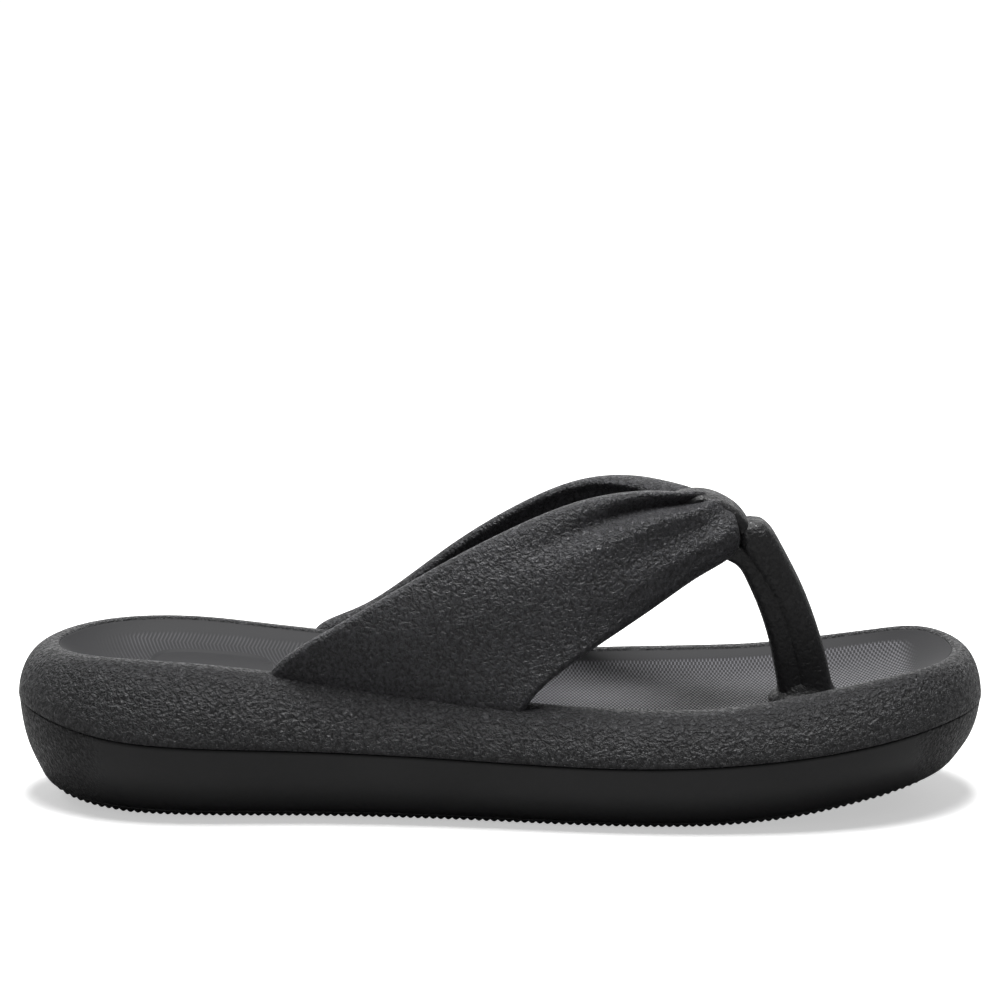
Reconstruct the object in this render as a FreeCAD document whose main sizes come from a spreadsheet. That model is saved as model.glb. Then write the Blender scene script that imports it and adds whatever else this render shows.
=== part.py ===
import FreeCAD, Part
import math
import os
import Sketcher
from FreeCAD import Placement, Rotation, Vector

# Chunky moulded thong sandal for the left foot, in millimetres.
# +X points to the toe, +Y to the outer (little toe) side, +Z up.
# The origin is the bottom centre of the sandal, on the ground.

# Driving dimensions. Each becomes a named cell of the sheet "dims".
SIZES = {
    "overall_length": 270.0,      # heel tip to toe tip, at the parting line
    "ball_width": 99.0,           # widest part of the sole
    "blank_height": 60.0,         # height of the block that the sole is cut from
    "rim_height": 43.0,           # top of the rim at the heel
    "parting_height": 18.0,       # mould parting line at the arch
    "rim_radius": 11.0,           # round of the rim's outer edge
    "base_radius": 14.0,          # round of the sole's lower edge
    "lip_radius": 2.5,            # round of the rim's inner edge
    "rim_inset": 14.5,            # sole edge to footbed edge
    "footbed_drop": 6.5,          # rim to footbed surface
    "footbed_thickness": 5.0,
    "outsole_thickness": 4.0,
    "flat_heel": 80.85,           # flat of the tread, from the middle to a heel groove
    "flat_toe": 43.05,            # flat of the tread, from the middle to a toe groove
    "heel_rocker": 400.0,         # radius of the rising heel end of the tread
    "toe_rocker": 420.0,          # radius of the rising toe end of the tread
    "tread_pitch": 2.1,
    "tread_depth": 0.6,
    "strap_height": 88.0,         # top of the gathered straps
    "strap_thickness": 4.6,
    "strap_gather": 9.0,          # thickness of the gathered strap in the toe loop
    "post_width": 12.0,           # toe strap, across the foot
    "post_offset": 7.0,           # toe strap's centre, inward of the middle
    "post_station": 85.3,         # toe strap's foot, forward of the middle
    "post_root": 15.5,            # lower end of the toe strap, inside the sole
    "post_round": 2.8,            # round of the toe strap's long edges
    "collar_length": 20.0,
    "collar_width": 17.0,
    "collar_base": 26.5,
    "collar_height": 5.8,
    "collar_round": 1.6,
    "anchor_radius": 14.0,        # disc that holds the toe strap from below
    "anchor_thickness": 4.0,
    "bar_length": 64.0,           # bars that hold the side straps
    "bar_width": 7.6,
    "bar_thickness": 4.0,
    "bar_round": 1.2,
}

ZERO = ((0.0, "overall_length"),)

# A cap arc is a hair wider than its chord, so that it stays a little less than half a circle.
CAP_SHARE = 0.5005

# How far the side view outlines reach past the middle, as a share of the length.
SIDE_REACH = 0.556

# The rising ends of the tread leave its flat at this slight angle, in radians.
ROCKER_ANGLE = 0.04


def term(factor, name):
    """A length that is a fixed share of one driving dimension."""
    return ((factor, name),)


def value(terms):
    return sum(factor * SIZES[name] for factor, name in terms)


def formula(terms):
    return " + ".join(f"{factor} * dims.{name}" for factor, name in terms)


def bind(target, path, terms):
    target.setExpression(path, formula(terms))


def make_sheet(doc):
    sheet = doc.addObject("Spreadsheet::Sheet", "dims")
    for row, (name, size) in enumerate(SIZES.items(), start=1):
        sheet.set(f"A{row}", name)
        sheet.set(f"B{row}", str(size))
        sheet.setAlias(f"B{row}", name)
    doc.recompute()
    return sheet


# ---------------------------------------------------------------- sketches

def new_body(doc, name):
    body = doc.addObject("PartDesign::Body", name)
    body.Label = name
    return body


def new_sketch(body, name, role):
    """An empty sketch on one of the body's own origin planes."""
    sketch = body.newObject("Sketcher::SketchObject", name)
    plane = [item for item in body.Origin.OriginFeatures if item.Role == role][0]
    sketch.AttachmentSupport = [(plane, "")]
    sketch.MapMode = "FlatFace"
    return sketch


def pin_point(sketch, geometry, place, point, tag):
    """Ties one point of the sketch to the driving dimensions."""
    for axis, terms in zip("XY", point):
        kind = "Distance" + axis
        index = sketch.addConstraint(Sketcher.Constraint(kind, geometry, place, value(terms)))
        name = f"{tag}_{axis.lower()}"
        sketch.renameConstraint(index, name)
        bind(sketch, "Constraints." + name, terms)


def flat_vector(point):
    return Vector(value(point[0]), value(point[1]), 0)


def add_spline(sketch, poles, periodic, tag):
    curve = Part.BSplineCurve([flat_vector(pole) for pole in poles], None, None, periodic, 3, None, False)
    index = sketch.addGeometry(curve)
    sketch.exposeInternalGeometry(index)
    for number, pole in enumerate(poles):
        pin_point(sketch, index + 1 + number, 3, pole, f"{tag}_pole_{number}")
    return index, 1, 2


def add_line(sketch, start, end, tag):
    index = sketch.addGeometry(Part.LineSegment(flat_vector(start), flat_vector(end)))
    pin_point(sketch, index, 1, start, f"{tag}_start")
    pin_point(sketch, index, 2, end, f"{tag}_end")
    return index, 1, 2


def add_arc(sketch, start, end, radius, turn, tag):
    """An arc from start to end; turn is 1 for counterclockwise, -1 for clockwise."""
    first, last = (start, end) if turn > 0 else (end, start)
    a, b = flat_vector(first), flat_vector(last)
    size = value(radius)
    chord = b.sub(a)
    rise = math.sqrt(size ** 2 - (chord.Length / 2) ** 2)
    middle = a.add(b).multiply(0.5)
    centre = middle.add(Vector(-chord.y, chord.x, 0).normalize().multiply(rise))
    angles = [math.atan2(p.y - centre.y, p.x - centre.x) for p in (a, b)]
    circle = Part.Circle(centre, Vector(0, 0, 1), size)
    index = sketch.addGeometry(Part.ArcOfCircle(circle, angles[0], angles[1]))
    pin_point(sketch, index, 1, first, f"{tag}_first")
    pin_point(sketch, index, 2, last, f"{tag}_last")
    constraint = sketch.addConstraint(Sketcher.Constraint("Radius", index, size))
    sketch.renameConstraint(constraint, f"{tag}_radius")
    bind(sketch, f"Constraints.{tag}_radius", radius)
    return (index, 1, 2) if turn > 0 else (index, 2, 1)


def add_ring(sketch, edges):
    """A closed outline. Each edge is (kind, start point, ...) and ends where the next starts."""
    for number, edge in enumerate(edges):
        kind, start = edge[0], edge[1]
        end = edges[(number + 1) % len(edges)][1]
        tag = f"edge_{number}"
        if kind == "line":
            add_line(sketch, start, end, tag)
        elif kind == "arc":
            add_arc(sketch, start, end, edge[2], edge[3], tag)
        else:
            add_spline(sketch, [start] + edge[2] + [end], False, tag)


def pad(body, sketch, length, both_ways=False):
    feature = body.newObject("PartDesign::Pad", body.Name + "_pad")
    feature.Profile = sketch
    feature.SideType = "Symmetric" if both_ways else "One side"
    feature.Length = value(length)
    bind(feature, "Length", length)
    sketch.Visibility = False
    return feature


def pocket(body, sketch, name, length):
    """Cuts the outline away on both sides of its plane."""
    feature = body.newObject("PartDesign::Pocket", name)
    feature.Profile = sketch
    feature.SideType = "Symmetric"
    feature.Length = value(length)
    bind(feature, "Length", length)
    return feature


def fillet(body, base, name, edges, radius):
    feature = body.newObject("PartDesign::Fillet", name)
    feature.Base = (base, edges)
    feature.Radius = SIZES[radius]
    feature.setExpression("Radius", f"dims.{radius}")
    return feature


def edge_names(shape, wanted):
    return [f"Edge{number}" for number, edge in enumerate(shape.Edges, start=1) if wanted(edge.BoundBox)]


# ---------------------------------------------------------------- shared curves

# Control points of the sole outline seen from above, as shares of the length and the width.
OUTLINE_ALONG = (-0.41, -0.2375, -0.0725, 0.094, 0.258, 0.43)
OUTLINE_OUTER = (0.42, 0.384, 0.398, 0.475, 0.517, 0.442)
OUTLINE_INNER = (0.422, 0.384, 0.40, 0.486, 0.511, 0.426)
OUTLINE_HEEL = -0.545
OUTLINE_TOE = 0.535

# Control points of the side view curves: shares of the length, then of the named height.
SIDE_ALONG = (-SIDE_REACH, -0.463, -0.278, 0.0, 0.278, 0.463, SIDE_REACH)
BELOW_GROUND = ((-0.2, "blank_height"),)
RIM_CURVE = (0.80, 1.075, 1.02, 0.774, 0.707, 1.058, 1.01)
PARTING_CURVE = (1.53, 1.41, 1.19, 1.09, 1.00, 1.56, 1.59)


def outline_poles(inset):
    """The sole outline, moved inward by a share of rim_inset, as closed spline poles."""
    end_shift = (0.35, 0.0, 0.0, 0.0, 0.0, -0.45)
    outer = []
    inner = []
    for along, left, right, shift in zip(OUTLINE_ALONG, OUTLINE_OUTER, OUTLINE_INNER, end_shift):
        x = ((along, "overall_length"), (shift * inset, "rim_inset"))
        outer.append((x, ((left, "ball_width"), (-inset, "rim_inset"))))
        inner.append((x, ((-right, "ball_width"), (inset, "rim_inset"))))
    heel = (((OUTLINE_HEEL, "overall_length"), (1.1 * inset, "rim_inset")), ZERO)
    toe = (((OUTLINE_TOE, "overall_length"), (-1.1 * inset, "rim_inset")), ZERO)
    return [heel] + outer + [toe] + inner[::-1]


def side_poles(shares, height, *offsets):
    """A side view curve from heel to toe; offsets are further (factor, name) terms."""
    return [(term(along, "overall_length"), ((share, height),) + offsets)
            for along, share in zip(SIDE_ALONG, shares)]


def rocker_height(x):
    """Height of the tread's tips above the ground at a distance x from the middle."""
    if x < -SIZES["flat_heel"]:
        run, radius = -SIZES["flat_heel"] - x, SIZES["heel_rocker"]
    elif x > SIZES["flat_toe"]:
        run, radius = x - SIZES["flat_toe"], SIZES["toe_rocker"]
    else:
        return 0.0
    return rocker_rise(run, radius, radius)


def rocker_rise(run, radius, arc):
    """Rise of an arc a run beyond the flat, whose rocker leaves the flat at ROCKER_ANGLE."""
    run = run + radius * math.sin(ROCKER_ANGLE)
    return radius * math.cos(ROCKER_ANGLE) - math.sqrt(arc ** 2 - run ** 2)


def close_over(curve, start, end, level):
    """Closes a side view curve from heel to toe with a box that ends at the given level."""
    return curve + [("line", end), ("line", (end[0], level)), ("line", (start[0], level))]


def region_above(poles):
    """Outline of everything above a side view curve, up past the blank's top."""
    curve = [("spline", poles[0], poles[1:-1])]
    return close_over(curve, poles[0], poles[-1], term(1.2, "blank_height"))


def region_below(poles):
    """Outline of everything below a side view curve, down past the ground."""
    curve = [("spline", poles[0], poles[1:-1])]
    return close_over(curve, poles[0], poles[-1], BELOW_GROUND)


def rocker_line(raised):
    """Side view of the tread, or of the line a share of outsole_thickness above it.

    It is a rising heel arc, a flat and a rising toe arc; its two end points come second.
    """
    reach = SIDE_REACH * SIZES["overall_length"]
    ends = []
    for side, flat, rocker in ((-1, "flat_heel", "heel_rocker"), (1, "flat_toe", "toe_rocker")):
        radius, run = SIZES[rocker], reach - SIZES[flat]
        rise = rocker_rise(run, radius, radius - raised * SIZES["outsole_thickness"])
        ends.append((term(side * SIDE_REACH, "overall_length"), term(rise / radius, rocker)))
    level = term(raised, "outsole_thickness")
    curve = [("arc", ends[0], ((1.0, "heel_rocker"), (-raised, "outsole_thickness")), 1),
             ("line", (term(-1.0, "flat_heel"), level)),
             ("arc", (term(1.0, "flat_toe"), level),
              ((1.0, "toe_rocker"), (-raised, "outsole_thickness")), 1)]
    return curve, ends


def slot_ring(length, width):
    """A slot outline centred on the origin, with round ends."""
    high, low = term(0.5, width), term(-0.5, width)
    right, left = term(0.5, length) + low, term(-0.5, length) + high
    cap = term(CAP_SHARE, width)
    return [("line", (left, low)), ("arc", (right, low), cap, 1),
            ("line", (right, high)), ("arc", (left, high), cap, 1)]


# ---------------------------------------------------------------- the sole

def outline_pad(doc, name, inset):
    body = new_body(doc, name)
    sketch = new_sketch(body, name + "_outline", "XY_Plane")
    add_spline(sketch, outline_poles(inset), True, "outline")
    pad(body, sketch, term(1.0, "blank_height"))
    doc.recompute()
    return body


def side_pocket(doc, body, name, ring):
    sketch = new_sketch(body, name + "_profile", "XZ_Plane")
    add_ring(sketch, ring)
    pocket(body, sketch, name, term(2.0, "ball_width"))
    doc.recompute()


def make_sole_blank(doc):
    """The whole sole as one rounded block, which the sole's layers are cut from."""
    blank = outline_pad(doc, "sole_blank", 0.0)
    side_pocket(doc, blank, "above_rim", region_above(side_poles(RIM_CURVE, "rim_height")))
    tread, ends = rocker_line(0.0)
    side_pocket(doc, blank, "below_tread", close_over(tread, *ends, BELOW_GROUND))
    above_middle = 0.6 * SIZES["rim_height"]
    below_middle = 0.4 * SIZES["rim_height"]
    high = edge_names(blank.Tip.Shape, lambda box: box.ZMin > above_middle)
    rim = fillet(blank, blank.Tip, "rim_round", high, "rim_radius")
    doc.recompute()
    # The straight lines across the tread, where the flat meets the arcs, stay sharp.
    low = edge_names(rim.Shape, lambda box: box.ZMax < below_middle and box.XLength > 1.0)
    fillet(blank, rim, "base_round", low, "base_radius")
    doc.recompute()
    return blank


def make_slab(doc, name, ring):
    """A slab as wide as the sole, from a closed side view outline."""
    body = new_body(doc, name)
    sketch = new_sketch(body, name + "_profile", "XZ_Plane")
    add_ring(sketch, ring)
    pad(body, sketch, term(2.0, "ball_width"), both_ways=True)
    return body


def common(doc, name, base, tool):
    feature = doc.addObject("Part::Common", name)
    feature.Base = base
    feature.Tool = tool
    return feature


def cut(doc, name, base, tools):
    """The base minus each tool in turn; the last step carries the name."""
    for number, tool in enumerate(tools, start=1):
        last = number == len(tools)
        feature = doc.addObject("Part::Cut", name if last else f"{name}_step_{number}")
        feature.Base = base
        feature.Tool = tool
        base = feature
    return base


def make_slabs(doc):
    """Side view slabs that part the sole blank into its three layers."""
    layer, ends = rocker_line(1.0)
    parting = side_poles(PARTING_CURVE, "parting_height")
    back_along_parting = [("line", ends[1]), ("spline", parting[-1], parting[1:-1][::-1]), ("line", parting[0])]
    outsole_slab = make_slab(doc, "outsole_slab", close_over(layer, *ends, BELOW_GROUND))
    lower_slab = make_slab(doc, "lower_slab", layer + back_along_parting)
    upper_slab = make_slab(doc, "upper_slab", region_above(parting))
    return outsole_slab, lower_slab, upper_slab


def make_tread_grooves(doc):
    """Fine V grooves right across the tread, one tread_pitch apart, with flat tips between them."""
    pitch, depth, width = SIZES["tread_pitch"], SIZES["tread_depth"], SIZES["ball_width"]
    half_top, below = 0.3 * pitch, 0.5 * depth
    half_mouth = half_top * (depth + below) / depth
    count = int(0.5 * SIZES["overall_length"] / pitch)
    grooves = []
    for number in range(-count, count):
        x = (number + 0.5) * pitch
        z = rocker_height(x)
        corners = [Vector(x - half_mouth, -width, z - below), Vector(x, -width, z + depth),
                   Vector(x + half_mouth, -width, z - below)]
        triangle = Part.Face(Part.makePolygon(corners + corners[:1]))
        grooves.append(triangle.extrude(Vector(0, 2 * width, 0)))
    feature = doc.addObject("Part::Feature", "tread_grooves")
    feature.Shape = Part.makeCompound(grooves)
    feature.Placement = Placement()
    return feature


def make_footbed_blank(doc):
    """The insole's plan, between its dished top and its flat underside."""
    drop = (-1.0, "footbed_drop")
    body = outline_pad(doc, "footbed_blank", 1.0)
    side_pocket(doc, body, "above_footbed", region_above(side_poles(RIM_CURVE, "rim_height", drop)))
    side_pocket(doc, body, "below_footbed",
                region_below(side_poles(RIM_CURVE, "rim_height", drop, (-1.0, "footbed_thickness"))))
    return body


def make_footbed_recess(doc):
    """Everything inside the rim, from the footbed's underside up."""
    body = outline_pad(doc, "footbed_recess", 1.0)
    offsets = ((-1.0, "footbed_drop"), (-1.0, "footbed_thickness"))
    side_pocket(doc, body, "below_recess", region_below(side_poles(RIM_CURVE, "rim_height", *offsets)))
    return body


# ---------------------------------------------------------------- the side straps

# Stations of each side strap, from its root in the sole to the toe loop: the rear edge and
# the front edge as (x, y, z) shares of the length, the width and the strap height, then the
# crosswise bulge as a share of the width and the thickness as (share, name).
MEDIAL_STATIONS = (
    ((-0.200, -0.300, 0.295), (0.030, -0.345, 0.295), -0.018, (1.0, "strap_thickness")),
    ((-0.220, -0.303, 0.450), (0.034, -0.362, 0.375), -0.016, (1.0, "strap_thickness")),
    ((-0.170, -0.312, 0.620), (0.058, -0.346, 0.465), 0.012, (1.0, "strap_thickness")),
    ((-0.062, -0.280, 0.805), (0.104, -0.300, 0.575), 0.036, (1.05, "strap_thickness")),
    ((0.037, -0.215, 0.940), (0.150, -0.235, 0.650), 0.044, (1.15, "strap_thickness")),
    ((0.104, -0.167, 0.978), (0.196, -0.192, 0.725), 0.036, (1.35, "strap_thickness")),
    ((0.156, -0.150, 0.982), (0.231, -0.164, 0.785), 0.018, (1.6, "strap_thickness")),
    ((0.190, -0.116, 0.950), (0.236, -0.116, 0.795), 0.0, (0.95, "strap_gather")),
    ((0.202, -0.0707, 0.940), (0.234, -0.0707, 0.800), 0.0, (1.0, "strap_gather")),
)
LATERAL_STATIONS = (
    ((-0.185, 0.300, 0.295), (0.045, 0.345, 0.295), -0.018, (1.0, "strap_thickness")),
    ((-0.200, 0.300, 0.440), (0.056, 0.362, 0.385), -0.016, (1.0, "strap_thickness")),
    ((-0.120, 0.297, 0.555), (0.080, 0.340, 0.480), 0.012, (1.0, "strap_thickness")),
    ((-0.037, 0.275, 0.765), (0.116, 0.300, 0.570), 0.034, (1.05, "strap_thickness")),
    ((0.041, 0.225, 0.903), (0.160, 0.220, 0.655), 0.042, (1.15, "strap_thickness")),
    ((0.100, 0.160, 0.976), (0.197, 0.130, 0.725), 0.036, (1.35, "strap_thickness")),
    ((0.157, 0.062, 0.990), (0.224, 0.030, 0.780), 0.018, (1.6, "strap_thickness")),
    ((0.190, -0.022, 0.965), (0.234, -0.025, 0.797), 0.0, (0.95, "strap_gather")),
    ((0.202, -0.0707, 0.940), (0.234, -0.0707, 0.800), 0.0, (1.0, "strap_gather")),
)


def place_of(shares):
    """A share triple as terms of the length, the width and the strap height."""
    return tuple(term(share, name)
                 for share, name in zip(shares, ("overall_length", "ball_width", "strap_height")))


def section_ring(chord, bulge, thickness):
    """A strap's cross-section: two parallel bowed faces with rounded edges."""
    share, name = thickness
    cap_reach = 0.32 * share
    face = (0.5 * share, name)
    right = ((0.5 * chord, "ball_width"), (-cap_reach, name))
    left = ((-0.5 * chord, "ball_width"), (cap_reach, name))
    near_right, near_left = term(chord / 5, "ball_width"), term(-chord / 5, "ball_width")
    lift = (4 / 3 * bulge, "ball_width")
    cap = term(0.55 * share, name)
    back = (-0.5 * share, name)
    top, under = (face,), (back,)
    crest, hollow = (face, lift), (back, lift)
    return [("spline", (left, top), [(near_left, crest), (near_right, crest)]),
            ("arc", (right, top), cap, -1),
            ("spline", (right, under), [(near_right, hollow), (near_left, hollow)]),
            ("arc", (left, under), cap, -1)]


def make_strap(doc, name, side, stations):
    """One side strap, lofted through its stations; side is -1 for inner and 1 for outer."""
    body = new_body(doc, name)
    rears = [Vector(*(value(terms) for terms in place_of(station[0]))) for station in stations]
    fronts = [Vector(*(value(terms) for terms in place_of(station[1]))) for station in stations]
    centres = [rear.add(front).multiply(0.5) for rear, front in zip(rears, fronts)]
    sections = []
    last = len(stations) - 1
    for number, (rear_share, front_share, bulge, thickness) in enumerate(stations):
        if number == 0:
            travel = Vector(0, 0, 1)
        elif number == last:
            travel = Vector(0, -side, 0)
        else:
            travel = centres[number + 1].sub(centres[number - 1])
        across = rears[number].sub(fronts[number])
        chord = across.Length / SIZES["ball_width"]
        across.normalize()
        outward = travel.cross(across).multiply(-side).normalize()
        sketch = new_sketch(body, f"{name}_section_{number}", "XY_Plane")
        turn = Rotation(across, outward, across.cross(outward), "XYZ")
        sketch.AttachmentOffset = Placement(centres[number], turn)
        middle = [0.5 * (a + b) for a, b in zip(rear_share, front_share)]
        for axis, terms in zip("xyz", place_of(middle)):
            bind(sketch, f"AttachmentOffset.Base.{axis}", terms)
        add_ring(sketch, section_ring(chord, bulge, thickness))
        sections.append(sketch)
    doc.recompute()
    loft = body.newObject("PartDesign::AdditiveLoft", name + "_loft")
    loft.Profile = sections[0]
    loft.Sections = sections[1:]
    doc.recompute()
    return body


def make_bar(doc, name, stations):
    """The flat round-ended bar under a side strap's root."""
    body = new_body(doc, name)
    sketch = new_sketch(body, name + "_outline", "XY_Plane")
    add_ring(sketch, slot_ring("bar_length", "bar_width"))
    feature = pad(body, sketch, term(1.0, "bar_thickness"))
    doc.recompute()
    rounded = edge_names(feature.Shape, lambda box: box.ZMax < 0.1 * SIZES["bar_thickness"])
    fillet(body, feature, name + "_round", rounded, "bar_round")
    rear, front = stations[0][0], stations[0][1]
    slope = math.atan2((front[1] - rear[1]) * SIZES["ball_width"],
                       (front[0] - rear[0]) * SIZES["overall_length"])
    middle_x, middle_y = 0.5 * (rear[0] + front[0]), 0.5 * (rear[1] + front[1])
    body.Placement = Placement(Vector(), Rotation(Vector(0, 0, 1), math.degrees(slope)))
    bind(body, "Placement.Base.x", term(middle_x, "overall_length"))
    bind(body, "Placement.Base.y", term(middle_y, "ball_width"))
    bind(body, "Placement.Base.z", ((rear[2], "strap_height"), (-1.0, "bar_thickness")))
    doc.recompute()
    return body


# ---------------------------------------------------------------- the toe strap

# Side view of the toe strap: control points as shares of the length and the strap height,
# up the front of the post, over the loop and down the back.
TOE_STRAP_POLES = (
    (0.342, 0.307), (0.339, 0.432), (0.329, 0.568), (0.312, 0.688), (0.294, 0.761),
    (0.289, 0.841), (0.272, 0.898), (0.250, 0.915), (0.230, 0.972), (0.200, 0.989),
    (0.178, 0.932), (0.187, 0.841), (0.215, 0.784), (0.241, 0.761), (0.265, 0.648),
    (0.281, 0.466), (0.288, 0.307),
)


def make_toe_strap_blank(doc):
    """The folded toe strap before the side straps pass through its loop."""
    body = new_body(doc, "toe_strap_blank")
    sketch = new_sketch(body, "toe_strap_profile", "XZ_Plane")
    bind(sketch, "AttachmentOffset.Base.z", term(1.0, "post_offset"))
    poles = [(term(x, "overall_length"), term(z, "strap_height")) for x, z in TOE_STRAP_POLES]
    root = term(1.0, "post_root")
    front, rear = (poles[0][0], root), (poles[-1][0], root)
    add_ring(sketch, [("spline", front, poles), ("line", rear)])
    feature = pad(body, sketch, term(1.0, "post_width"), both_ways=True)
    doc.recompute()
    tall = edge_names(feature.Shape, lambda box: box.YLength < 1.0 and box.ZLength > 1.0)
    fillet(body, feature, "toe_strap_round", tall, "post_round")
    doc.recompute()
    return body


def make_collar_blank(doc):
    """The raised collar round the toe strap's foot, before the strap passes through it."""
    body = new_body(doc, "collar_blank")
    sketch = new_sketch(body, "collar_outline", "XY_Plane")
    add_ring(sketch, slot_ring("collar_length", "collar_width"))
    feature = pad(body, sketch, term(1.0, "collar_height"))
    doc.recompute()
    top = edge_names(feature.Shape, lambda box: box.ZMin > 0.9 * SIZES["collar_height"])
    fillet(body, feature, "collar_edge", top, "collar_round")
    bind(body, "Placement.Base.x", term(1.0, "post_station"))
    bind(body, "Placement.Base.y", term(-1.0, "post_offset"))
    bind(body, "Placement.Base.z", term(1.0, "collar_base"))
    doc.recompute()
    return body


def make_toe_anchor(doc):
    """The round-edged disc under the toe strap's lower end."""
    body = new_body(doc, "toe_anchor")
    sketch = new_sketch(body, "toe_anchor_profile", "XZ_Plane")
    edge = ((1.0, "anchor_radius"), (-0.5, "anchor_thickness"))
    top = term(1.0, "anchor_thickness")
    add_ring(sketch, [("line", (ZERO, ZERO)),
                      ("arc", (edge, ZERO), term(CAP_SHARE, "anchor_thickness"), 1),
                      ("line", (edge, top)), ("line", (ZERO, top))])
    disc = body.newObject("PartDesign::Revolution", "toe_anchor_disc")
    disc.Profile = sketch
    disc.ReferenceAxis = (sketch, ["V_Axis"])
    disc.Angle = 360
    bind(body, "Placement.Base.x", term(1.0, "post_station"))
    bind(body, "Placement.Base.y", term(-1.0, "post_offset"))
    bind(body, "Placement.Base.z", ((1.0, "post_root"), (-1.0, "anchor_thickness")))
    doc.recompute()
    return body


# ---------------------------------------------------------------- assembly

def round_lip(doc, name, base):
    """Rounds the rim's inner edge, where the recess meets the top of the rim."""
    doc.recompute()
    reach = 0.5 * SIZES["ball_width"] - SIZES["rim_inset"] + 1.0
    floor = SIZES["rim_height"] - SIZES["rim_radius"]
    inner = [number for number, edge in enumerate(base.Shape.Edges, start=1)
             if edge.BoundBox.ZMin > floor and edge.BoundBox.XLength > 1.0
             and -reach < edge.BoundBox.YMin and edge.BoundBox.YMax < reach]
    feature = doc.addObject("Part::Fillet", name)
    feature.Base = base
    feature.Edges = [(number, SIZES["lip_radius"], SIZES["lip_radius"]) for number in inner]
    doc.recompute()
    return feature


def build():
    doc = FreeCAD.newDocument("sandal")
    make_sheet(doc)
    blank = make_sole_blank(doc)
    outsole_slab, lower_slab, upper_slab = make_slabs(doc)
    recess = make_footbed_recess(doc)
    footbed_blank = make_footbed_blank(doc)
    medial_strap = make_strap(doc, "medial_strap", -1, MEDIAL_STATIONS)
    lateral_strap = make_strap(doc, "lateral_strap", 1, LATERAL_STATIONS)
    medial_bar = make_bar(doc, "medial_strap_anchor", MEDIAL_STATIONS)
    lateral_bar = make_bar(doc, "lateral_strap_anchor", LATERAL_STATIONS)
    toe_blank = make_toe_strap_blank(doc)
    collar_blank = make_collar_blank(doc)
    toe_anchor = make_toe_anchor(doc)
    straps = [medial_strap, lateral_strap]
    bars = [medial_bar, lateral_bar]
    hollow = cut(doc, "upper_hollow", common(doc, "upper_blank", blank, upper_slab), [recess])
    rim = round_lip(doc, "upper_rim", hollow)
    parts = {
        "outsole": cut(doc, "outsole", common(doc, "outsole_blank", blank, outsole_slab),
                       [make_tread_grooves(doc)]),
        "lower_midsole": cut(doc, "lower_midsole", common(doc, "lower_blank", blank, lower_slab),
                             [toe_blank, toe_anchor]),
        "upper_midsole": cut(doc, "upper_midsole", rim, [toe_blank] + straps + bars),
        "footbed": cut(doc, "footbed", footbed_blank, [collar_blank, toe_blank]),
        "medial_strap": medial_strap,
        "lateral_strap": lateral_strap,
        "medial_strap_anchor": medial_bar,
        "lateral_strap_anchor": lateral_bar,
        "toe_strap": cut(doc, "toe_strap", toe_blank, straps),
        "toe_post_collar": cut(doc, "toe_post_collar", collar_blank, [toe_blank]),
        "toe_anchor": toe_anchor,
    }
    doc.recompute()
    return doc, parts


def check(doc, parts):
    """Stops before anything is written if a feature failed or a part isn't a sound solid."""
    for item in doc.Objects:
        if "Invalid" in item.State or "Error" in item.State:
            raise RuntimeError(f"{item.Name} is {item.State}")
    for name, item in parts.items():
        shape = item.Shape
        if shape.isNull() or not shape.isValid() or not shape.Solids:
            raise RuntimeError(f"{name} has no sound solid")
        print(f"{name}: {len(shape.Solids)} solid, {shape.Volume / 1000:.2f} cm3, {shape.BoundBox}")


def write(parts):
    os.makedirs("parts", exist_ok=True)
    for name, item in parts.items():
        item.Label = name
        item.Shape.exportStep(f"parts/{name}.step")


document, sub_parts = build()
check(document, sub_parts)
write(sub_parts)
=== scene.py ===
import math

import bmesh
import bpy
import numpy as np
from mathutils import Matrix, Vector


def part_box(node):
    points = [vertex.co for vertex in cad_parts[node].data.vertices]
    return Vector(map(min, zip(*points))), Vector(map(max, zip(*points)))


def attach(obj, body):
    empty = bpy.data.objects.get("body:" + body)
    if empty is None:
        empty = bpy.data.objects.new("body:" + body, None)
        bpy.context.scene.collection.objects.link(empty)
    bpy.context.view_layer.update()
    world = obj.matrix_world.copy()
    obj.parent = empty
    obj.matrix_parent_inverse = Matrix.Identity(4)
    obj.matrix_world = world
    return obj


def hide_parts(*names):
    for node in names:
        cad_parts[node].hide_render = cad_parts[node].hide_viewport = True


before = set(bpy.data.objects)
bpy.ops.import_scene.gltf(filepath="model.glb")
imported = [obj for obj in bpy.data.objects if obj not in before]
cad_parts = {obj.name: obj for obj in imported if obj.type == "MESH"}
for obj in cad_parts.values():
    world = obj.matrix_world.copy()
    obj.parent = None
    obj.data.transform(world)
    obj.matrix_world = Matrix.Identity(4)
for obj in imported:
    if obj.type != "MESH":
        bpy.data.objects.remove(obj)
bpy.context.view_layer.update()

# A chunky moulded thong sandal for the left foot. Lengths are in millimetres until a mesh is
# made. Along the foot they count from the heel tip; the frame's own x is 0 in the middle.
# +X points to the toe, +Y to the outer side, +Z up.
MM = 0.001
BODY = "root"


def millimetres(node):
    low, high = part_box(node)
    return np.array(low) / MM, np.array(high) / MM


SOLE_LOW, SOLE_HIGH = millimetres("lower_midsole")
LENGTH = SOLE_HIGH[0] - SOLE_LOW[0]
WIDTH = SOLE_HIGH[1] - SOLE_LOW[1]
HEEL = SOLE_LOW[0]                    # frame x of the heel tip

# ------------------------------------------------------------------ curves


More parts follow.
